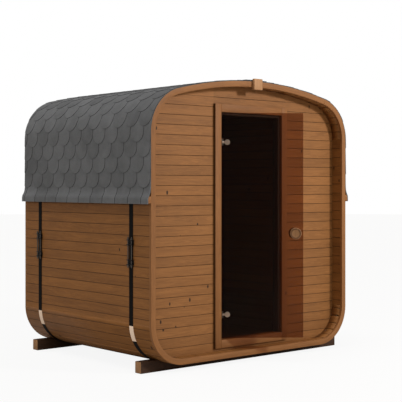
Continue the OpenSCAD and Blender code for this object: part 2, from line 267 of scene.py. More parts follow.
def timber(name, light, dark, along, knots=0.0, run=False, gloss=0.62, depth=1.0, low_shade=0.0):
    """Planed, oiled softwood whose grain runs along one axis: 0 is x, 1 is y, 2 is z.

    Each board's own tone, kept in an attribute, shifts the pattern and its colour.
    With run, the pattern follows the "run" attribute, as on a bent hoop.
    """
    sheet = Sheet(name, specular=0.2)
    tone = sheet.attribute("tone")
    place = sheet.attribute("run", "Vector") if run else sheet.object_place()
    shift = sheet.join(*(tone * step for step in WOOD_SHIFT))
    place = sheet.vector_maths("ADD", place, shift)
    drawn = sheet.vector_maths("MULTIPLY", place, stretched(FIGURE_ACROSS, FIGURE_ALONG, along))
    fibre = sheet.vector_maths("MULTIPLY", place, stretched(FIBRE_ACROSS, FIBRE_ALONG, along))
    figure = sheet.noise(drawn, 1.6, 5.0, 0.62, 1.1)
    rings = (figure * RINGS).sine() * 0.5 + 0.5
    pores = sheet.noise(fibre, 3.0, 3.0, 0.7)
    blotch = sheet.noise(place, 3.4, 3.0, 0.5)
    grain = rings * 0.14 + pores * 0.36 + figure * 0.50
    body = sheet.mix(sheet.ramp(grain, [(0.28, 0.0), (0.72, 1.0)]), dark, light)
    board = 0.94 + tone * 0.13 + (blotch - 0.5) * 0.34
    # painted shade: the timber is darkened towards the bottom, where the light falls off
    if low_shade:
        height_up = sheet.split(sheet.object_place())[2]
        painted_low_shade = sheet.ramp(height_up / CROWN_Z, [(LOW_SHADE_FROM, low_shade), (LOW_SHADE_TO, 0.0)])
        board = board * (1.0 - painted_low_shade)
    body = sheet.graded(body, board)
    height = grain * 0.6 + pores * 0.4
    if knots:
        x, y, z = sheet.split(place)
        flat = sheet.join((y if along == 1 else x) * KNOT_ACROSS, z * KNOT_UP, 0.0)
        away = sheet.node("ShaderNodeTexVoronoi", {"voronoi_dimensions": "2D"},
                          {"Vector": flat, "Scale": 1.0}, output="Distance")
        pick = sheet.split(away.beside("Color"))[0]
        size = KNOT_LEAST + pick * KNOT_MORE
        inside = sheet.ramp(away / size, [(0.55, 1.0), (1.0, 0.0)]) * (pick < knots)
        halo = sheet.ramp(away / size, [(0.8, 0.45), (2.6, 0.0)]) * (pick < knots)
        body = sheet.mix(halo, body, times(dark, 0.55))
        body = sheet.mix(inside, body, times(dark, 0.16))
        height = height - inside * 0.5
    rough = gloss - 0.10 + grain * 0.16
    return sheet.finish(body, rough, sheet.bump(height, 0.0012 * depth, 0.7))


def bitumen(name, base):
    """Shingle felt with its coat of slate granules, paler and darker tab by tab."""
    sheet = Sheet(name)
    place = sheet.object_place()
    tone = sheet.attribute("tone")
    grit = sheet.noise(place, 900.0, 2.0, 0.6)
    patch = sheet.noise(place, 9.0, 4.0, 0.6)
    speck = sheet.node("ShaderNodeTexVoronoi", inputs={"Vector": place, "Scale": 420.0},
                       output="Color")
    level = 0.62 + tone * 0.20 + (patch - 0.5) * 0.55 + (grit - 0.5) * 0.35
    colour = sheet.graded(sheet.mix(0.16, base, speck, "MULTIPLY"), level)
    rough = 0.80 + grit * 0.18
    return sheet.finish(colour, rough, sheet.bump(grit + patch * 0.3, 0.0011, 0.8))


def smoked_glass(name):
    """Bronze tinted sheet that lets light through with its tint, under a clear gloss."""
    sheet = Sheet(name, colour=(0.020, 0.012, 0.009))
    place = sheet.object_place()
    smear = sheet.noise(place, 5.0, 4.0, 0.6, 0.4)
    sheet.put(sheet.shader.inputs["Roughness"], 0.015 + smear * 0.05)
    sheet.shader.inputs["IOR"].default_value = 1.5
    clear = sheet.node("ShaderNodeBsdfTransparent", inputs={"Color": GLASS_TINT})
    return sheet.end_in(sheet.mix_shader(GLASS_SHEEN, clear, sheet.shader.outputs[0]))


def brushed_nickel(name, level):
    """Metal brushed along z, as light or dark as its level says."""
    sheet = Sheet(name, metallic=1.0)
    place = sheet.object_place()
    brushed = sheet.vector_maths("MULTIPLY", place, (500.0, 500.0, 60.0))
    lines = sheet.noise(brushed, 2.0, 3.0, 0.6)
    patch = sheet.noise(place, 40.0, 3.0, 0.6)
    tone = level * 0.86 + (lines - 0.5) * 0.16 + (patch - 0.5) * 0.10
    colour = sheet.join(tone, tone * 0.72, tone * 0.54)
    return sheet.finish(colour, 0.26 + lines * 0.16, sheet.bump(lines, 0.0001, 0.4))


def black_band(name):
    """Blackened strap steel, with a pale painted reflection of the ground where it turns under
    each lower corner.
    """
    sheet = Sheet(name, specular=0.05)
    place = sheet.object_place()
    z = sheet.split(place)[2]
    wear = sheet.noise(place, 70.0, 4.0, 0.6)
    drawn = sheet.vector_maths("MULTIPLY", place, (30.0, 400.0, 30.0))
    scuff_and_sheen = sheet.noise(drawn, 1.5, 3.0, 0.6)
    black = sheet.mix(wear, (0.0022, 0.0018, 0.0016), (0.006, 0.005, 0.0045))
    # painted reflection: a pale stretch where the band turns under the corner, as if it mirrored
    # the ground
    painted_reflection = sheet.mix(scuff_and_sheen, (0.80, 0.58, 0.42), (0.95, 0.76, 0.60))
    bend_end = FOOT_Z - FOOT_R * math.sin(math.radians(REFLECTION_TURN))
    reflection_mask = (z < FOOT_Z - REFLECTION_START) * (z > bend_end)
    return sheet.finish(sheet.mix(reflection_mask, black, painted_reflection), 0.46 + wear * 0.22,
                        sheet.bump(scuff_and_sheen, 0.0002, 0.4))


def black_iron(name):
    """Blackened iron of the brackets, worn a little along its surface."""
    sheet = Sheet(name, specular=0.15)
    place = sheet.object_place()
    wear = sheet.noise(place, 55.0, 5.0, 0.65)
    chip = sheet.ramp(sheet.noise(place, 160.0, 2.0, 0.5), [(0.66, 0.0), (0.72, 1.0)])
    colour = sheet.mix(wear, (0.003, 0.0026, 0.0024), (0.010, 0.008, 0.007))
    colour = sheet.mix(chip * 0.35, colour, (0.10, 0.08, 0.07))
    return sheet.finish(colour, 0.34 + wear * 0.3, sheet.bump(wear, 0.0004, 0.5))


def zinc_steel(name):
    """Zinc plated rods and nuts."""
    sheet = Sheet(name, metallic=1.0)
    place = sheet.object_place()
    spangle = sheet.noise(place, 130.0, 3.0, 0.6)
    dull = sheet.noise(place, 18.0, 3.0, 0.6)
    tone = 0.04 + spangle * 0.06 + dull * 0.07
    colour = sheet.join(tone, tone * 0.92, tone * 0.84)
    return sheet.finish(colour, 0.34 + dull * 0.2, sheet.bump(spangle, 0.0002, 0.5))


GLASS_TINT = (0.70, 0.56, 0.47)
GLASS_SHEEN = 0.07  # share of the glass's look that is its gloss
REFLECTION_TURN = 26.0  # degrees round the corner where the straps' painted reflection ends
REFLECTION_START = 0.018  # and how far under the corner's top it begins
WARM = (0.285, 0.119, 0.034)
WARM_DARK = (0.165, 0.064, 0.016)
PALE = (0.265, 0.110, 0.033)
PALE_DARK = (0.170, 0.066, 0.018)

WALL_TIMBER = timber("wall_boards", WARM, WARM_DARK, along=0, knots=0.26, low_shade=0.06)
STAVE_TIMBER = timber("shell_staves", (0.258, 0.104, 0.025), (0.148, 0.055, 0.012), along=1,
                      knots=0.14)
# dark joint timber; on the left door post's left face it is painted shade
JOINT_AND_SHADE_TIMBER = timber("board_joints_and_painted_shade", times(WARM, 0.34), times(WARM_DARK, 0.28), along=0)
RIM_TIMBER = timber("rim_hoops", PALE, PALE_DARK, along=0, run=True, low_shade=0.06)
POST_TIMBER = timber("door_posts", PALE, PALE_DARK, along=2, knots=0.20, low_shade=0.10)
RAIL_TIMBER = timber("door_rails", PALE, PALE_DARK, along=0, low_shade=0.06)
# painted shade: the beams' long faces are near black, as in the shade under the shell
BEAM_SHADE_TIMBER = timber("ground_beams_painted_shade", (0.058, 0.026, 0.012), (0.024, 0.010, 0.004), along=0,
                     depth=2.0)
BEAM_END_TIMBER = timber("beam_ends", (0.36, 0.19, 0.085), (0.20, 0.095, 0.038), along=0)
# painted shade: the stops are near black, standing in for the shade inside the doorway
STOP_SHADE_TIMBER = timber("door_stops", (0.040, 0.016, 0.006), (0.020, 0.008, 0.003), along=2)
# painted shade: the knob's dish is darkened as shade in its hollow
DISH_SHADE_TIMBER = timber("knob_dishes_painted_shade", (0.120, 0.052, 0.018), (0.065, 0.026, 0.009), along=2)
EAVE_TIMBER = timber("eave_battens", PALE, PALE_DARK, along=1)
BLOCK_TIMBER = timber("ridge_blocks", (0.40, 0.21, 0.095), (0.26, 0.125, 0.052), along=2)
KNOB_TIMBER = timber("turned_knobs", (0.27, 0.135, 0.055), (0.14, 0.064, 0.024), along=2,
                     gloss=0.5)
SHINGLE_FELT = bitumen("slate_shingles", (0.152, 0.153, 0.156))
# near-black bitumen edges, which also stand in for painted shadow lines between the tabs
SHINGLE_EDGE_AND_SHADE = bitumen("shingle_edges_and_painted_shade", (0.012, 0.012, 0.012))
DOOR_GLASS = smoked_glass("smoked_glass")
HINGE_NICKEL = brushed_nickel("hinge_nickel", 0.34)
HINGE_PLATE = brushed_nickel("hinge_plates", 0.07)
BAND_STEEL = black_band("strap_band")
BRACKET_IRON = black_iron("strap_brackets")
ROD_STEEL = zinc_steel("strap_rods")


# ---- modelling helpers ----

CLEAN_WELD = 0.00002  # points of a CAD mesh closer than this are one
FLAT_WITHIN = 0.3  # degrees between triangles that are one flat face
SMOOTH_WITHIN = 30.0  # degrees between faces that are shaded as one curve
CUT_WITHIN = 0.000001  # a plane's cut takes in points this near


def only(piece):
    """Makes one object the active and only selected one."""
    bpy.ops.object.select_all(action="DESELECT")
    piece.select_set(True)
    bpy.context.view_layer.objects.active = piece


def edit(piece):
    only(piece)
    bpy.ops.object.mode_set(mode="EDIT")


def leave_edit():
    bpy.ops.object.mode_set(mode="OBJECT")


def select_all():
    bpy.ops.mesh.select_all(action="SELECT")


def apply_modifier(piece, kind, **settings):
    only(piece)
    modifier = piece.modifiers.new(kind.lower(), kind)
    for key, value in settings.items():
        setattr(modifier, key, value)
    bpy.ops.object.modifier_apply(modifier=modifier.name)


def bevel_sharp(piece, width, angle=35.0):
    """Rounds the edges that turn by more than an angle."""
    apply_modifier(piece, "BEVEL", width=width, segments=2, limit_method="ANGLE",
                   angle_limit=math.radians(angle))


def settle(piece):
    """Puts a piece's place into its mesh."""
    only(piece)
    bpy.ops.object.transform_apply(location=True, rotation=True, scale=True)


def paint(piece, *materials):
    piece.data.materials.clear()
    for material in materials:
        piece.data.materials.append(material)


def set_tone(piece, tone):
    """Gives all faces of a piece the tone that shifts its material."""
    attributes = piece.data.attributes
    layer = attributes.get("tone") or attributes.new("tone", "FLOAT", "FACE")
    for item in layer.data:
        item.value = tone


def joined(pieces, name):
    """Several pieces made one."""
    bpy.ops.object.select_all(action="DESELECT")
    for piece in pieces:
        piece.select_set(True)
    bpy.context.view_layer.objects.active = pieces[0]
    if len(pieces) > 1:
        bpy.ops.object.join()
    pieces[0].name = name
    pieces[0].data.name = name
    return pieces[0]


def twin_of(piece, name, matrix=None):
    """A copy of a piece with its own mesh, moved by a matrix."""
    copy = piece.copy()
    copy.data = piece.data.copy()
    copy.name = name
    bpy.context.scene.collection.objects.link(copy)
    if matrix is not None:
        copy.data.transform(matrix)
        if matrix.determinant() < 0:
            edit(copy)
            select_all()
            bpy.ops.mesh.flip_normals()
            leave_edit()
    return copy


def copy_of_node(node, name, whole_faces=True, weld=CLEAN_WELD):
    """A clean copy of a CAD node: its loose triangles merged and its flat faces made whole."""
    source = frame["nodes"][node]
    piece = bpy.data.objects.new(name, source.data.copy())
    bpy.context.scene.collection.objects.link(piece)
    piece.data.transform(source.matrix_world)
    piece.data.materials.clear()
    edit(piece)
    select_all()
    bpy.ops.mesh.customdata_custom_splitnormals_clear()
    bpy.ops.mesh.remove_doubles(threshold=weld)
    if whole_faces:
        select_all()
        bpy.ops.mesh.dissolve_limited(angle_limit=math.radians(FLAT_WITHIN))
    leave_edit()
    return piece


def mount(piece, body, slot, material, *nodes):
    """Gives a finished piece its body and material, and hides the nodes it stands for. Its slot
    is not used.
    """
    if material is not None:
        materials = material if isinstance(material, tuple) else (material,)
        paint(piece, *materials)
    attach(piece, body)
    if nodes:
        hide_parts(*nodes)
    return piece


def shade(piece):
    only(piece)
    bpy.ops.object.shade_smooth_by_angle(angle=math.radians(SMOOTH_WITHIN))


def keep_side(piece, point, normal):
    """Cuts a piece by a plane, keeps the side that the normal points to, and chamfers the cut."""
    edit(piece)
    select_all()
    bpy.ops.mesh.bisect(plane_co=point, plane_no=normal, use_fill=True, clear_inner=True,
                        threshold=CUT_WITHIN)
    if any(edge.select for edge in bmesh.from_edit_mesh(piece.data).edges):
        bpy.ops.mesh.bevel(offset=JOINT_CHAMFER, segments=1, affect="EDGES", material=1)
    leave_edit()


def sliced(node, name, planes, tones, materials):
    """A node's copy cut into boards by planes, each a point and a normal along the run."""
    base = copy_of_node(node, name)
    paint(base, *materials)
    boards = []
    for i, tone in enumerate(tones):
        board = twin_of(base, f"{name}_{i}")
        if i > 0:
            point, along = planes[i - 1]
            keep_side(board, point, along)
        if i < len(planes):
            point, along = planes[i]
            keep_side(board, point, -along)
        if len(board.data.polygons) == 0:
            bpy.data.objects.remove(board)
            continue
        set_tone(board, tone)
        boards.append(board)
    bpy.data.objects.remove(base)
    return joined(boards, name)


# ---- end walls ----

LEAST_BOARD = 0.012  # no joint comes nearer than this to a panel's edge
LEAST_STAVE = 0.004
TONE_STEP = 7919  # keeps the draws of neighbouring boards apart


def board_tone(index, seed):
    """A board's own tone, from 0 to 1, the same on each run."""
    return random.Random(index * TONE_STEP + seed).random()


def wall_panel(node, seed):
    low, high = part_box(node)
    first = math.ceil((low.z + LEAST_BOARD - WALL_JOINT_Z) / BOARD)
    last = math.floor((high.z - LEAST_BOARD - WALL_JOINT_Z) / BOARD)
    up = Vector((0, 0, 1))
    planes = [(Vector((0, 0, WALL_JOINT_Z + k * BOARD)), up) for k in range(first, last + 1)]
    tones = [board_tone(k, seed) for k in range(first, last + 2)]
    panel = sliced(node, f"{node}_boards", planes, tones, (WALL_TIMBER, JOINT_AND_SHADE_TIMBER))
    mount(panel, "cabin", "wall_timber", None, node)


def end_walls():
    for seed, node in enumerate(("front_wall_left", "front_wall_right", "front_wall_head",
                                 "front_wall_foot", "back_wall")):
        wall_panel(node, seed)


# ---- shell staves ----

STAVE_START = math.fmod(SIDE_S + SIDE_JOINT_Z - FOOT_Z, BOARD)
STAVE_SEED = 40
FLOOR_SEED = 90


def shell_point(s):
    """The place and direction, in x and z, of a length s round the outside of the left half."""
    if s < FOOT_S:
        return Vector((-s, 0, UNDER_Z)), Vector((-1, 0, 0))
    if s < SIDE_S:
        turn = (s - FOOT_S) / FOOT_R
        out = Vector((-math.sin(turn), 0, -math.cos(turn)))
        return Vector((-FOOT_S, 0, FOOT_Z)) + out * FOOT_R, Vector((out.z, 0, -out.x))
    if s < SHOULDER_S:
        return Vector((-HALF_WIDTH, 0, FOOT_Z + s - SIDE_S)), Vector((0, 0, 1))
    if s < CROWN_S:
        turn = (s - SHOULDER_S) / SHOULDER_R
        out = Vector((-math.cos(turn), 0, math.sin(turn)))
        return Vector((-SHOULDER_X, 0, SHOULDER_Z)) + out * SHOULDER_R, Vector((out.z, 0, -out.x))
    turn = CROWN_ANGLE - (s - CROWN_S) / CROWN_R
    out = Vector((-math.sin(turn), 0, math.cos(turn)))
    return Vector((0, 0, CROWN_CENTRE_Z)) + out * CROWN_R, Vector((out.z, 0, -out.x))


def joints_between(start, end):
    """The joints between two lengths round the shell, each with its number."""
    first = math.ceil((start + LEAST_STAVE - STAVE_START) / BOARD)
    last = math.floor((end - LEAST_STAVE - STAVE_START) / BOARD)
    return [(k, STAVE_START + k * BOARD) for k in range(first, last + 1)]


def stave_run(node, start, end, side):
    """Staves between two lengths round the shell; side is -1 on the left and 1 on the right."""
    flip = Matrix.Diagonal((-side, 1, 1))
    joints = joints_between(start, end)
    planes = []
    for _, s in joints:
        point, direction = shell_point(s)
        planes.append((flip @ point, flip @ direction))
    tones = [board_tone(joints[0][0] + i, STAVE_SEED + side) for i in range(len(joints) + 1)]
    run = sliced(node, f"{node}_run", planes, tones, (STAVE_TIMBER, JOINT_AND_SHADE_TIMBER))
    mount(run, "cabin", "stave_timber", None, node)


def floor_run():
    joints = joints_between(0, FOOT_S)
    spots = sorted([-s for _, s in joints] + [s for _, s in joints])
    planes = [(Vector((x, 0, 0)), Vector((1, 0, 0))) for x in spots]
    tones = [board_tone(i, FLOOR_SEED) for i in range(len(spots) + 1)]
    run = sliced("floor_staves", "floor_staves_run", planes, tones, (STAVE_TIMBER, JOINT_AND_SHADE_TIMBER))
    mount(run, "cabin", "stave_timber", None, "floor_staves")


def shell():
    floor_run()
    runs = (("foot", FOOT_S, SIDE_S), ("side", SIDE_S, SHOULDER_S),
            ("shoulder", SHOULDER_S, CROWN_S), ("roof", CROWN_S, RIDGE_S))
    for side, word in ((-1, "left"), (1, "right")):
        for part, start, end in runs:
            stave_run(f"{part}_staves_{word}", start, end, side)


# ---- hoops ----

HOOP_WELD = 0.0008
HOOP_ROUND = 0.0025


def run_place(x, z):
    """How far round the half shell a point lies, and how far out from its face."""
    x = -abs(x)
    if z > SHOULDER_Z:
        from_crown = math.atan2(-x, z - CROWN_CENTRE_Z)
        if from_crown < CROWN_ANGLE:
            reach = math.hypot(x, z - CROWN_CENTRE_Z) - CROWN_R
            return CROWN_S + (CROWN_ANGLE - from_crown) * CROWN_R, reach
        turn = math.atan2(z - SHOULDER_Z, -(x + SHOULDER_X))
        reach = math.hypot(x + SHOULDER_X, z - SHOULDER_Z) - SHOULDER_R
        return SHOULDER_S + turn * SHOULDER_R, reach
    if z > FOOT_Z:
        return SIDE_S + z - FOOT_Z, -x - HALF_WIDTH
    if x < -FOOT_S:
        turn = math.atan2(-(x + FOOT_S), FOOT_Z - z)
        reach = math.hypot(x + FOOT_S, z - FOOT_Z) - FOOT_R
        return FOOT_S + turn * FOOT_R, reach
    return -x, UNDER_Z - z


def rim(node):
    """A hoop over the staves' ends, with its grain drawn round it."""
    piece = copy_of_node(node, f"{node}_hoop", whole_faces=False, weld=HOOP_WELD)
    bevel_sharp(piece, HOOP_ROUND, 50)
    layer = piece.data.attributes.new("run", "FLOAT_VECTOR", "CORNER")
    for polygon in piece.data.polygons:
        for corner in polygon.loop_indices:
            spot = piece.data.vertices[piece.data.loops[corner].vertex_index].co
            length, out = run_place(spot.x, spot.z)
            layer.data[corner].vector = (math.copysign(length, spot.x), spot.y, out)
    set_tone(piece, 0.55)
    shade(piece)
    mount(piece, "cabin", "rim_timber", RIM_TIMBER, node)


# ---- plain timbers ----

BEAM_END = 0.005
FACING = 0.9  # least share of a face's normal that makes it face an axis

PLAIN_TIMBERS = (  # node, material, slot, tone, chamfer
    ("door_post_left", (POST_TIMBER, JOINT_AND_SHADE_TIMBER), "frame_timber", 0.62, 0.003),
    ("door_post_right", POST_TIMBER, "frame_timber", 0.45, 0.003),
    ("door_head", RAIL_TIMBER, "frame_timber", 0.50, 0.003),
    ("door_sill", RAIL_TIMBER, "frame_timber", 0.38, 0.003),
    ("door_stops", STOP_SHADE_TIMBER, "frame_timber", 0.40, 0.002),
    ("beam_front", (BEAM_SHADE_TIMBER, BEAM_END_TIMBER), "beam_timber", 0.5, 0.004),
    ("beam_rear", (BEAM_SHADE_TIMBER, BEAM_END_TIMBER), "beam_timber", 0.5, 0.004),
    ("eave_batten_left", EAVE_TIMBER, "pale_timber", 0.6, 0.002),
    ("eave_batten_right", EAVE_TIMBER, "pale_timber", 0.5, 0.002),
    ("ridge_block_front", BLOCK_TIMBER, "pale_timber", 0.7, 0.004),
    ("ridge_block_back", BLOCK_TIMBER, "pale_timber", 0.6, 0.004),
)


def planed(node, material, slot, tone, chamfer):
    piece = copy_of_node(node, f"{node}_planed")
    bevel_sharp(piece, chamfer)
    set_tone(piece, tone)
    shade(piece)
    return mount(piece, "cabin", slot, material, node)


def plain_timbers():
    """Posts, rails, beams, battens and blocks, with painted shade on the left post's left face
    and a paler timber on the beams' ends.
    """
    pieces = {row[0]: planed(*row) for row in PLAIN_TIMBERS}
    # painted shade: the left post's face towards -x takes the dark joint timber
    for polygon in pieces["door_post_left"].data.polygons:
        polygon.material_index = 1 if polygon.normal.x < -FACING else 0
    # the beams' long faces keep their painted shade, and their ends take the paler timber
    for node in ("beam_front", "beam_rear"):
        for polygon in pieces[node].data.polygons:
            at_end = abs(polygon.center.x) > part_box(node)[1].x - BEAM_END
            polygon.material_index = 1 if at_end and abs(polygon.normal.x) > FACING else 0


# ---- shingles ----

COURSE = 0.110  # length of a shingle that shows
TAB = 0.158  # from one round-ended tab to the next
TAB_SLIT = 0.0045  # gap between two tabs
TAB_LENGTH = 0.200
TAB_SIDES = 36
TAB_RISE = 0.0079  # a tab's face at its lower end, out from the shell
TAB_TILT = 0.0225  # a tab's fall towards the shell for each metre up the slope
TAB_T = 0.006
SHEET_OUT = 0.0034  # outer face of the felt underlay
ROW = 0.0125  # rows that let a sheet bend
EAVE_X = -HALF_WIDTH - 0.025  # outer face of the eave batten
EAVE_FLARE = ((0, 0), (0, 0.022), (0.0005, 0.040), (0.005, 0.052), (0.013, 0.064),
              (0.019, 0.080), (0.023, 0.098))  # in and up from the drip edge
FLARE_TOP = 0.120
PROFILE_STEP = 0.010
PAST_RIDGE = 0.3  # how far the profile runs on, level
LEAST_COURSE = 0.030  # a shorter one at the ridge is left out
TAB_SEED = 200
CAP_SEED = 300
CAP_LENGTH = 0.142  # of a ridge cap, about
STRAP_GAP = 0.002  # from the felt to a strap's edge
SKIN = 0.0002  # the felt's distance from the shell; the tabs reach twice this into it
SHORT = 0.0005  # the sheet ends this far before the ridge, the felt twice as far
EAVE_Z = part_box("side_shingles_left")[0].z
FIRST_ROUND = 0.120  # from the drip edge to the first rounded ends


def eave_profile():
    """Points up the roofing's inner face, from the drip edge over the batten to the ridge."""
    points = [(EAVE_X + inward, EAVE_Z + up) for inward, up in EAVE_FLARE]
    points.append((-HALF_WIDTH, EAVE_Z + FLARE_TOP))
    length = SIDE_S + EAVE_Z + FLARE_TOP - FOOT_Z
    while length < RIDGE_S - 2 * PROFILE_STEP:
        length += PROFILE_STEP
        spot, _ = shell_point(length)
        points.append((spot.x, spot.z))
    points += [(0.0, CROWN_Z), (PAST_RIDGE, CROWN_Z)]
    return points


def profile_curve():
    data = bpy.data.curves.new("eave_profile", "CURVE")
    data.dimensions = "2D"
    points = eave_profile()
    spline = data.splines.new("POLY")
    spline.points.add(len(points) - 1)
    for target, (x, z) in zip(spline.points, points):
        target.co = (x, z, 0, 1)
    curve = bpy.data.objects.new("eave_profile", data)
    bpy.context.scene.collection.objects.link(curve)
    return curve


def profile_length(to_z=None):
    """Length up the profile to the ridge, or to a height on its upright stretch."""
    points = eave_profile()[:-1]
    total = 0.0
    for (x0, z0), (x1, z1) in zip(points, points[1:]):
        if to_z is not None and z1 > to_z:
            return total + to_z - z0
        total += math.hypot(x1 - x0, z1 - z0)
    return total


def cut_rows(piece, length):
    """Cuts a flat sheet across, so that it can bend smoothly."""
    edit(piece)
    for i in range(1, int(length / ROW)):
        select_all()
        bpy.ops.mesh.bisect(plane_co=(i * ROW, 0, 0), plane_no=(1, 0, 0))
    leave_edit()


def tab(rounded):
    """One shingle tab lying flat: x up the slope, y out from it, z across."""
    radius = (TAB - TAB_SLIT) / 2
    if rounded:
        bpy.ops.mesh.primitive_circle_add(vertices=TAB_SIDES, radius=radius, fill_type="NGON",
                                          location=(radius, 0, 0))
        piece = bpy.context.active_object
        settle(piece)
        edit(piece)
        select_all()
        bpy.ops.mesh.bisect(plane_co=(radius, 0, 0), plane_no=(1, 0, 0), clear_outer=True)
        bpy.ops.mesh.select_mode(type="EDGE")
        bpy.ops.mesh.extrude_region_move(
            TRANSFORM_OT_translate={"value": (TAB_LENGTH - radius, 0, 0)})
        leave_edit()
    else:
        bpy.ops.mesh.primitive_plane_add(size=1)
        piece = bpy.context.active_object
        piece.scale = (TAB_LENGTH, 2 * radius, 1)
        piece.location = (TAB_LENGTH / 2, 0, 0)
        settle(piece)
    paint(piece, SHINGLE_FELT, SHINGLE_EDGE_AND_SHADE)
    # the tabs' rims take the edge material, which is also painted shadow between the tabs
    apply_modifier(piece, "SOLIDIFY", thickness=TAB_T, offset=-1, material_offset_rim=1)
    piece.rotation_euler = (math.radians(-90), 0, 0)
    settle(piece)
    piece.rotation_euler = (0, 0, -math.atan(TAB_TILT))
    piece.location = (0, TAB_RISE, 0)
    settle(piece)
    edit(piece)
    select_all()
    bpy.ops.mesh.bisect(plane_co=(0, SHEET_OUT - 2 * SKIN, 0), plane_no=(0, 1, 0),
                        use_fill=True, clear_inner=True)
    select_all()
    bpy.ops.mesh.normals_make_consistent(inside=False)
    leave_edit()
    cut_rows(piece, TAB_LENGTH)
    return piece


def clip(piece, point, normal):
    """Cuts a sheet by a plane and keeps the side that the normal points to."""
    edit(piece)
    select_all()
    bpy.ops.mesh.bisect(plane_co=point, plane_no=normal, use_fill=True, clear_inner=True)
    leave_edit()


def flat_courses():
    """All the tabs of one side of the roof, lying flat."""
    plain, rounded = tab(False), tab(True)
    ridge = profile_length()
    across = Vector((0, 0, 1))
    tabs = []
    course = 0
    start = 0.0
    while start < ridge - LEAST_COURSE:
        offset = TAB / 2 if course % 2 else 0.0
        source = plain if course == 0 else rounded
        for i in range(-1, int(SHELL_DEPTH / TAB) + 2):
            middle = -SHELL_FRONT - offset - i * TAB
            place = Matrix.Translation((start, 0, middle))
            piece = twin_of(source, f"tab_{course}_{i}", place)
            low, high = middle - TAB / 2, middle + TAB / 2
            if high > -SHELL_FRONT:
                clip(piece, -SHELL_FRONT * across, -across)
            if low < -SHELL_BACK:
                clip(piece, -SHELL_BACK * across, across)
            if not piece.data.polygons:
                bpy.data.objects.remove(piece)
                continue
            set_tone(piece, board_tone(i + 3, course + TAB_SEED))
            tabs.append(piece)
        start = FIRST_ROUND + course * COURSE
        course += 1
    bpy.data.objects.remove(plain)
    bpy.data.objects.remove(rounded)
    return joined(tabs, "courses"), ridge


def underlay(length):
    """Felt sheets under the tabs, with a channel left for each strap."""
    strips = []
    edges = [-SHELL_BACK]
    for node in ("strap_rear", "strap_front"):
        low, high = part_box(node)
        edges += [-high.y - STRAP_GAP, -low.y + STRAP_GAP]
    edges.append(-SHELL_FRONT)
    for i in range(0, len(edges), 2):
        bpy.ops.mesh.primitive_cube_add(size=1)
        strip = bpy.context.active_object
        strip.scale = (length - 2 * SHORT, SHEET_OUT - SKIN, edges[i + 1] - edges[i])
        strip.location = (length / 2, (SHEET_OUT + SKIN) / 2, (edges[i] + edges[i + 1]) / 2)
        settle(strip)
        cut_rows(strip, length)
        paint(strip, SHINGLE_FELT, SHINGLE_EDGE_AND_SHADE)
        set_tone(strip, 0.0)
        strips.append(strip)
    return joined(strips, "underlay")


def bend(piece, curve):
    """Lays a flat sheet along the profile and stands it up."""
    apply_modifier(piece, "CURVE", object=curve, deform_axis="POS_X")
    piece.rotation_euler = (math.radians(90), 0, 0)
    settle(piece)


def roofing():
    """The left half is laid flat, cut at the shoulder's end, bent, and mirrored."""
    curve = profile_curve()
    courses, ridge = flat_courses()
    sheet = joined([courses, underlay(ridge)], "sheet")
    clip(sheet, (ridge - SHORT, 0, 0), (-1, 0, 0))
    crown = profile_length(SHOULDER_Z) + CROWN_S - SHOULDER_S
    side = twin_of(sheet, "side_tabs_left")
    clip(side, (crown, 0, 0), (-1, 0, 0))
    roof = sheet
    clip(roof, (crown, 0, 0), (1, 0, 0))
    bend(side, curve)
    bend(roof, curve)
    bpy.data.objects.remove(curve)
    mirrored = twin_of(side, "side_tabs_right", TO_RIGHT)
    mount(mirrored, "cabin", "shingle", None, "side_shingles_right")
    mount(side, "cabin", "shingle", None, "side_shingles_left")
    roof = joined([roof, twin_of(roof, "roof_half", TO_RIGHT)], "roof_tabs")
    mount(roof, "cabin", "shingle", None, "roof_shingles")


def ridge_caps():
    """Cap shingles along the ridge, each a board's breadth of the CAD strip."""
    low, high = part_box("ridge_shingles")
    count = round((high.y - low.y) / CAP_LENGTH)
    pitch = (high.y - low.y) / count
    planes = [(Vector((0, low.y + k * pitch, 0)), Vector((0, 1, 0))) for k in range(1, count)]
    tones = [board_tone(k, CAP_SEED) for k in range(count)]
    caps = sliced("ridge_shingles", "ridge_caps", planes, tones, (SHINGLE_FELT, SHINGLE_EDGE_AND_SHADE))
    mount(caps, "cabin", "shingle", None, "ridge_shingles")


# ---- strap tensioners ----


def solid_box(low, high):
    bpy.ops.mesh.primitive_cube_add(size=1)
    piece = bpy.context.active_object
    piece.scale = [b - a for a, b in zip(low, high)]
    piece.location = [(a + b) / 2 for a, b in zip(low, high)]
    settle(piece)
    return piece


def solid_rod(radius, low, high, x, y, sides=20):
    bpy.ops.mesh.primitive_cylinder_add(vertices=sides, radius=radius, depth=high - low,
                                        location=(x, y, (low + high) / 2))
    piece = bpy.context.active_object
    settle(piece)
    return piece


TENSION_L = 0.182
BRACKET_H = 0.038
BRACKET_W = 0.070
PLATE_T = 0.003
FLANGE_OUT = 0.020
FLANGE_T = 0.005
IRON_ROUND = 0.0012
ROD_OUT = 0.011
ROD_SIDE = 0.021
ROD_R = 0.005
NUT_R = 0.008
NUT_L = 0.009
NUT_ROUND = 0.0008
WASHER_T = 0.0012
WASHER_R = NUT_R + 0.0008
ROD_PAST = 0.012
ROD_ROUND = 0.001
THREAD_DEPTH = 0.0006
THREAD_STEP = 0.0018
THREAD_T = THREAD_STEP / 2
THREAD_END = 0.003  # left plain at each end of a rod
THREAD_IN = 0.020  # how far past the brackets the thread runs on
STRAP_T = 0.002


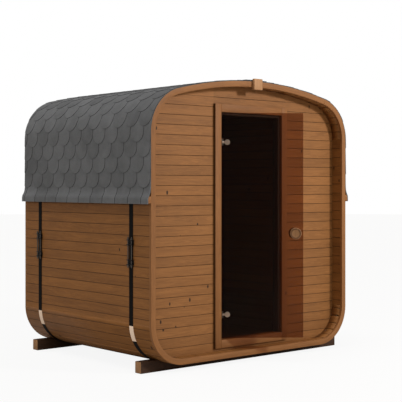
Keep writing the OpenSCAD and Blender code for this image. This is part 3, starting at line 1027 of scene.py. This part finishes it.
def tensioner_irons():
    """Two folded brackets: a plate on the strap and a flange at each end of it."""
    outer = TENSION_L / 2
    inner = outer - BRACKET_H
    irons = []
    for sign in (1, -1):
        for out, start, stop in ((PLATE_T, inner, outer), (FLANGE_OUT, inner, inner + FLANGE_T),
                                 (FLANGE_OUT, outer - FLANGE_T, outer)):
            low, high = sorted((sign * start, sign * stop))
            piece = solid_box((-out, -BRACKET_W / 2, low), (0, BRACKET_W / 2, high))
            bevel_sharp(piece, IRON_ROUND)
            irons.append(piece)
    return joined(irons, "irons")


def tensioner_rods():
    """Two threaded rods with a nut and a washer at each end."""
    outer = TENSION_L / 2
    end = outer + NUT_L + ROD_PAST
    parts = []
    for side in (-1, 1):
        y = side * ROD_SIDE
        rod = solid_rod(ROD_R - THREAD_DEPTH, -end, end, -ROD_OUT, y)
        bevel_sharp(rod, ROD_ROUND)
        parts.append(rod)
        turn = -end + THREAD_END
        while turn < end - THREAD_END:
            if abs(turn) > outer - BRACKET_H - THREAD_IN:
                parts.append(solid_rod(ROD_R, turn, turn + THREAD_T, -ROD_OUT, y))
            turn += THREAD_STEP
        for sign in (-1, 1):
            low, high = sorted((sign * (outer + WASHER_T), sign * (outer + NUT_L)))
            nut = solid_rod(NUT_R, low, high, -ROD_OUT, y, sides=6)
            bevel_sharp(nut, NUT_ROUND)
            low, high = sorted((sign * outer, sign * (outer + WASHER_T)))
            parts += [nut, solid_rod(WASHER_R, low, high, -ROD_OUT, y, sides=24)]
    return joined(parts, "rods")


def tensioners():
    irons, rods = tensioner_irons(), tensioner_rods()
    for piece in (irons, rods):
        set_tone(piece, 0.5)
        shade(piece)
    for row in ("front", "rear"):
        for side in ("left", "right"):
            node = f"tensioner_{row}_{side}"
            low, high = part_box(node)
            middle = (low + high) / 2
            place = Matrix.Translation((-HALF_WIDTH - STRAP_T, middle.y, middle.z))
            if side == "right":
                place = TO_RIGHT @ place
            iron = twin_of(irons, f"{node}_brackets", place)
            rod = twin_of(rods, f"{node}_rods", place)
            mount(iron, "cabin", "strap_steel", BRACKET_IRON, node)
            mount(rod, "cabin", "strap_steel", ROD_STEEL)
    bpy.data.objects.remove(irons)
    bpy.data.objects.remove(rods)


# ---- door fittings ----

KNOB_ROUND = 0.0012
HINGE_ROUND = 0.0006
DISH_R = 0.0335
DISH_PAST = 0.008  # the dish's floor is farther than this from the knob's middle


def knobs():
    """The two turned knobs, with painted shade in the dish in the face of each."""
    for word in ("outside", "inside"):
        knob = copy_of_node(f"knob_{word}", f"knob_{word}_turned")
        bevel_sharp(knob, KNOB_ROUND)
        set_tone(knob, 0.55)
        shade(knob)
        mount(knob, "door", "knob_timber", (KNOB_TIMBER, DISH_SHADE_TIMBER), f"knob_{word}")
        low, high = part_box(f"knob_{word}")
        middle = (low + high) / 2
        swing = Matrix.Rotation(OPEN_ANGLE, 3, "Z")
        # the dish's faces take the painted shade
        for polygon in knob.data.polygons:
            from_axis = swing @ (polygon.center - middle)
            if math.hypot(from_axis.x, from_axis.z) < DISH_R and abs(from_axis.y) > DISH_PAST:
                polygon.material_index = 1


def hinges():
    parts = (("base", "cabin", HINGE_PLATE), ("clamp", "door", HINGE_NICKEL))
    for word in ("top", "bottom"):
        for part, body, metal in parts:
            node = f"hinge_{part}_{word}"
            piece = copy_of_node(node, f"{node}_brushed")
            bevel_sharp(piece, HINGE_ROUND)
            set_tone(piece, 0.5)
            shade(piece)
            mount(piece, body, "hinge_steel", metal, node)


def main():
    end_walls()
    shell()
    rim("rim_front")
    rim("rim_back")
    plain_timbers()
    roofing()
    ridge_caps()
    tensioners()
    knobs()
    hinges()


main()


# ---- what the CAD nodes keep ----


for kept, its_material in (("strap_front", BAND_STEEL), ("strap_rear", BAND_STEEL),
                           ("door_glass", DOOR_GLASS)):
    paint(frame["nodes"][kept], its_material)


# ---- camera, light and ground ----

EYE = (-5.480, SHELL_FRONT - 5.738, 1.350)
EYE_TURN = -40.6  # degrees from looking straight back
FOCAL_LENGTH, SENSOR = 92.2, 36.0  # millimetres
SHIFT_UP = -0.0397
KEY_PLACE = (2.5, SHELL_FRONT - 5.4, 3.7)
KEY_TARGET = (0.2, SHELL_FRONT, 1.2)
KEY_POWER, KEY_SIZE = 320, 0.8
SKY_AZIMUTH, SKY_ELEVATION = -85, 76  # azimuth 0 is the front, positive to the right
SKY_POWER, SKY_SPREAD = 1.8, 30
FILL = 0.49
FILL_COLOUR = (1.0, 0.99, 0.98)
WHITE = (1, 1, 1)
FLOOR_COLOUR = (0.55, 0.53, 0.50)
FLOOR_R = 40.0
FLOOR_GLOW = 0.90  # share of the floor that the camera sees as plain white


def linked(name, data, place, turn):
    item = bpy.data.objects.new(name, data)
    item.location = place
    item.rotation_euler = turn
    bpy.context.scene.collection.objects.link(item)
    return item


def camera():
    lens = bpy.data.cameras.new("camera")
    lens.sensor_width = SENSOR
    lens.lens = FOCAL_LENGTH
    lens.shift_y = SHIFT_UP
    turn = (math.radians(90), 0, math.radians(EYE_TURN))
    bpy.context.scene.camera = linked("camera", lens, EYE, turn)


def sky():
    """A wide, soft sun from high on the left."""
    light = bpy.data.lights.new("sky", "SUN")
    light.energy = SKY_POWER
    light.angle = math.radians(SKY_SPREAD)
    turn = (math.radians(90 - SKY_ELEVATION), 0, math.radians(SKY_AZIMUTH))
    linked("sky", light, (0, 0, 0), turn)


def key():
    """A square lamp in front, to the right, that faces the front wall."""
    light = bpy.data.lights.new("key", "AREA")
    light.energy = KEY_POWER
    light.size = KEY_SIZE
    toward = Vector(KEY_TARGET) - Vector(KEY_PLACE)
    linked("key", light, KEY_PLACE, toward.to_track_quat("-Z", "Y").to_euler())


def world():
    """Even fill light, with plain white where the camera or a see-through sheet looks past."""
    studio = bpy.data.worlds.new("studio")
    bpy.context.scene.world = studio
    studio.use_nodes = True
    graph = Graph(studio.node_tree)
    graph.tree.nodes.remove(graph.tree.nodes["Background"])
    direct = graph.node("ShaderNodeLightPath", output="Is Camera Ray")
    seen = direct.maths("MAXIMUM", direct, direct.beside("Is Transmission Ray"))
    fill = graph.node("ShaderNodeBackground", inputs={"Color": FILL_COLOUR, "Strength": FILL})
    white = graph.node("ShaderNodeBackground", inputs={"Color": WHITE, "Strength": 1.0})
    graph.put(graph.tree.nodes["World Output"].inputs["Surface"],
              graph.mix_shader(seen, fill, white))


def ground():
    """A wide floor that the camera sees nearly white, with the cabin's faint shadow on it."""
    bpy.ops.object.select_all(action="DESELECT")
    bpy.ops.mesh.primitive_circle_add(vertices=96, radius=FLOOR_R, fill_type="NGON")
    floor = bpy.context.active_object
    floor.name = "studio_floor"
    sheet = Sheet("studio_floor", roughness=0.9, colour=FLOOR_COLOUR)
    path = sheet.node("ShaderNodeLightPath", output="Is Camera Ray")
    glow = sheet.node("ShaderNodeEmission", inputs={"Color": WHITE, "Strength": 1.0})
    mixed = sheet.mix_shader(path * FLOOR_GLOW, sheet.shader.outputs[0], glow)
    paint(floor, sheet.end_in(mixed))


camera()
world()
key()
sky()
ground()
bpy.context.scene.view_settings.view_transform = "Standard"
